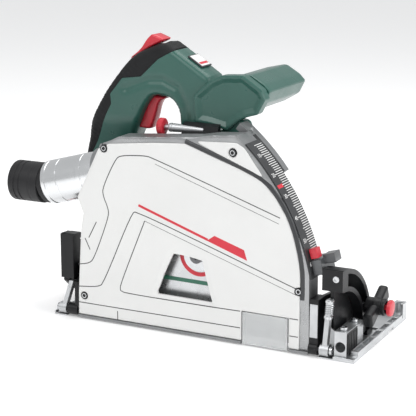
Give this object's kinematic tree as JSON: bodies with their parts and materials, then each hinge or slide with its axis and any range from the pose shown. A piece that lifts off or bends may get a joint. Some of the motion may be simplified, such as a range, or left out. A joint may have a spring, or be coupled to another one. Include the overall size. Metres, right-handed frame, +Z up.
{
  "type": "track plunge saw",
  "caption": "Cordless plunge saw for a guide rail: spring-loaded saw unit dips the blade through a bevelling guard, with depth stop, dust port and two handles.",
  "frame": {"origin": "centre of the base plate's underside", "axes": "+X is the cutting direction (front), +Y runs from the blade towards the motor, +Z is up"},
  "size_m": [0.432, 0.1735, 0.3096],
  "materials": {
    "alloy": "cast and machined, satin",
    "guard_alloy": "dark grey satin coat on cast alloy",
    "steel": "bright ground steel",
    "black_parts": "fine grained black",
    "dark_metal": "dark grey satin coat",
    "white_cover": "warm white satin",
    "clear_window": "clear moulded plastic",
    "green_shell": "dark green moulded plastic",
    "grip_rubber": "soft grip",
    "red_controls": "red moulded plastic",
    "copper_winding": "varnished copper windings in laminated steel"
  },
  "bodies": {
    "base": {"base_plate": "alloy", "front_quadrant": "black_parts", "rear_quadrant": "black_parts", "front_strut": "alloy", "rear_strut": "alloy", "front_hinge_pin": "steel", "rear_hinge_pin": "steel", "fence_block": "alloy"},
    "near_fence_screw": {"fence_screw_1": "steel"},
    "far_fence_screw": {"fence_screw_2": "steel"},
    "front_adjuster": {"front_rail_adjuster": "black_parts"},
    "rear_adjuster": {"rear_rail_adjuster": "black_parts"},
    "guard": {"guard_housing": "guard_alloy", "guard_cover": "white_cover", "cover_screw_1": "steel", "cover_screw_2": "steel", "cover_screw_3": "steel", "cover_screw_4": "steel", "scale_strip": "dark_metal", "adjuster_shaft": "alloy", "front_bevel_bracket": "black_parts", "rear_bevel_bracket": "black_parts", "pivot_shaft": "steel", "plunge_spring": "steel"},
    "chip_window": {"chip_guard": "clear_window"},
    "stop": {"depth_stop": "dark_metal"},
    "stop_button": {"depth_stop_button": "red_controls"},
    "fine_knob": {"adjuster_knob": "red_controls"},
    "front_clamp": {"front_clamp_knob": "black_parts"},
    "front_button": {"front_release_button": "red_controls"},
    "rear_clamp": {"rear_clamp_knob": "black_parts"},
    "rear_button": {"rear_release_button": "red_controls"},
    "dust_port": {"dust_tube": "alloy", "dust_nozzle": "grip_rubber"},
    "drive": {"gearbox_housing": "alloy", "arbor_bearing": "steel", "motor_housing": "green_shell", "motor_end_cap": "black_parts", "stator": "copper_winding", "handle_shell_left": "green_shell", "handle_shell_right": "green_shell", "grip_pad": "grip_rubber", "handle_label": "white_cover", "front_handle": "green_shell", "front_handle_bar": "green_shell", "battery_foot": "black_parts", "depth_pointer": "dark_metal", "switch_block": "black_parts"},
    "trigger_lever": {"trigger": "red_controls"},
    "lock_off": {"lock_off_button": "red_controls"},
    "spindle_pin": {"spindle_lock": "red_controls"},
    "battery": {"battery_pack": "black_parts"},
    "battery_latch": {"battery_release": "red_controls"},
    "blade": {"saw_blade": "steel", "arbor_shaft": "steel", "blade_flange": "steel", "arbor_screw": "steel"},
    "lay_gear": {"layshaft": "steel"},
    "motor_rotor": {"rotor": "steel"}
  },
  "joints": [
    {"name": "bevel", "type": "hinge", "parent": "base", "child": "guard", "pos_m": [0, -0.075, 0.008], "axis": [1, 0, 0], "range_deg": [0, 47]},
    {"name": "plunge", "type": "hinge", "parent": "guard", "child": "drive", "pos_m": [-0.115, 0, 0.03], "axis": [0, 1, 0], "range_deg": [0, 32.8], "stiffness_Nm_per_rad": 3, "springref_deg": -51.57},
    {"name": "blade_spin", "type": "hinge", "parent": "drive", "child": "blade", "pos_m": [-0.00325, -0.066, 0.086], "axis": [0, 1, 0], "continuous": true},
    {"name": "layshaft_spin", "type": "hinge", "parent": "drive", "child": "lay_gear", "pos_m": [-0.01626, -0.036, 0.10676], "axis": [0, 1, 0], "continuous": true},
    {"name": "rotor_spin", "type": "hinge", "parent": "drive", "child": "motor_rotor", "pos_m": [-0.05121, 0, 0.10505], "axis": [0, 1, 0], "continuous": true},
    {"name": "trigger_pull", "type": "hinge", "parent": "drive", "child": "trigger_lever", "pos_m": [-0.08, -0.012, 0.241], "axis": [0, 1, 0], "range_deg": [0, 8], "stiffness_Nm_per_rad": 0.4, "springref_deg": -8.59},
    {"name": "lock_off_press", "type": "slide", "parent": "drive", "child": "lock_off", "axis": [0.4, 0, -0.9165], "range_m": [0, 0.0025], "stiffness_N_per_m": 600, "springref_m": -0.001},
    {"name": "spindle_lock_press", "type": "slide", "parent": "drive", "child": "spindle_pin", "axis": [0, -1, 0], "range_m": [0, 0.0025], "stiffness_N_per_m": 500, "springref_m": -0.001},
    {"name": "depth_set", "type": "hinge", "parent": "guard", "child": "stop", "pos_m": [-0.115, 0, 0.03], "axis": [0, 1, 0], "range_deg": [-31, 0]},
    {"name": "depth_release_press", "type": "slide", "parent": "stop", "child": "stop_button", "axis": [0.3223, 0, -0.9466], "range_m": [0, 0.001], "stiffness_N_per_m": 400, "springref_m": -0.001},
    {"name": "fine_adjust", "type": "hinge", "parent": "guard", "child": "fine_knob", "pos_m": [-0.059, -0.0436, 0.215], "axis": [1, 0, 0], "range_deg": [-180, 180]},
    {"name": "front_clamp_turn", "type": "hinge", "parent": "guard", "child": "front_clamp", "pos_m": [0.17, -0.00793, 0.03927], "axis": [1, 0, 0], "range_deg": [0, 60]},
    {"name": "front_release_press", "type": "slide", "parent": "front_clamp", "child": "front_button", "axis": [-1, 0, 0], "range_m": [0, 0.002], "stiffness_N_per_m": 400, "springref_m": -0.001},
    {"name": "rear_clamp_turn", "type": "hinge", "parent": "guard", "child": "rear_clamp", "pos_m": [-0.17, -0.00793, 0.03927], "axis": [1, 0, 0], "range_deg": [0, 60]},
    {"name": "rear_release_press", "type": "slide", "parent": "rear_clamp", "child": "rear_button", "axis": [1, 0, 0], "range_m": [0, 0.002], "stiffness_N_per_m": 400, "springref_m": -0.001},
    {"name": "chip_window_slide", "type": "slide", "parent": "guard", "child": "chip_window", "axis": [0, 0, 1], "range_m": [-0.0055, 0]},
    {"name": "dust_swivel", "type": "hinge", "parent": "guard", "child": "dust_port", "pos_m": [-0.195, -0.05, 0.142], "axis": [0.9659, 0, 0.2588], "continuous": true},
    {"name": "battery_slide", "type": "slide", "parent": "drive", "child": "battery", "axis": [0, 1, 0], "range_m": [0, 0.04]},
    {"name": "battery_release_press", "type": "slide", "parent": "battery", "child": "battery_latch", "axis": [1, 0, 0], "range_m": [0, 0.002], "stiffness_N_per_m": 400, "springref_m": -0.001},
    {"name": "near_fence_screw_turn", "type": "hinge", "parent": "base", "child": "near_fence_screw", "pos_m": [0.161, -0.069, 0.03], "axis": [0, 0, 1], "range_deg": [-180, 180]},
    {"name": "far_fence_screw_turn", "type": "hinge", "parent": "base", "child": "far_fence_screw", "pos_m": [0.161, -0.039, 0.03], "axis": [0, 0, 1], "range_deg": [-180, 180]},
    {"name": "front_adjuster_turn", "type": "hinge", "parent": "base", "child": "front_adjuster", "pos_m": [0.13, 0.03, 0.008], "axis": [0, 0, 1], "range_deg": [-90, 90]},
    {"name": "rear_adjuster_turn", "type": "hinge", "parent": "base", "child": "rear_adjuster", "pos_m": [-0.13, 0.03, 0.008], "axis": [0, 0, 1], "range_deg": [-90, 90]}
  ],
  "couplings": [
    {"joint": "layshaft_spin", "follows": "blade_spin", "ratio": -1},
    {"joint": "rotor_spin", "follows": "blade_spin", "ratio": 4}
  ]
}
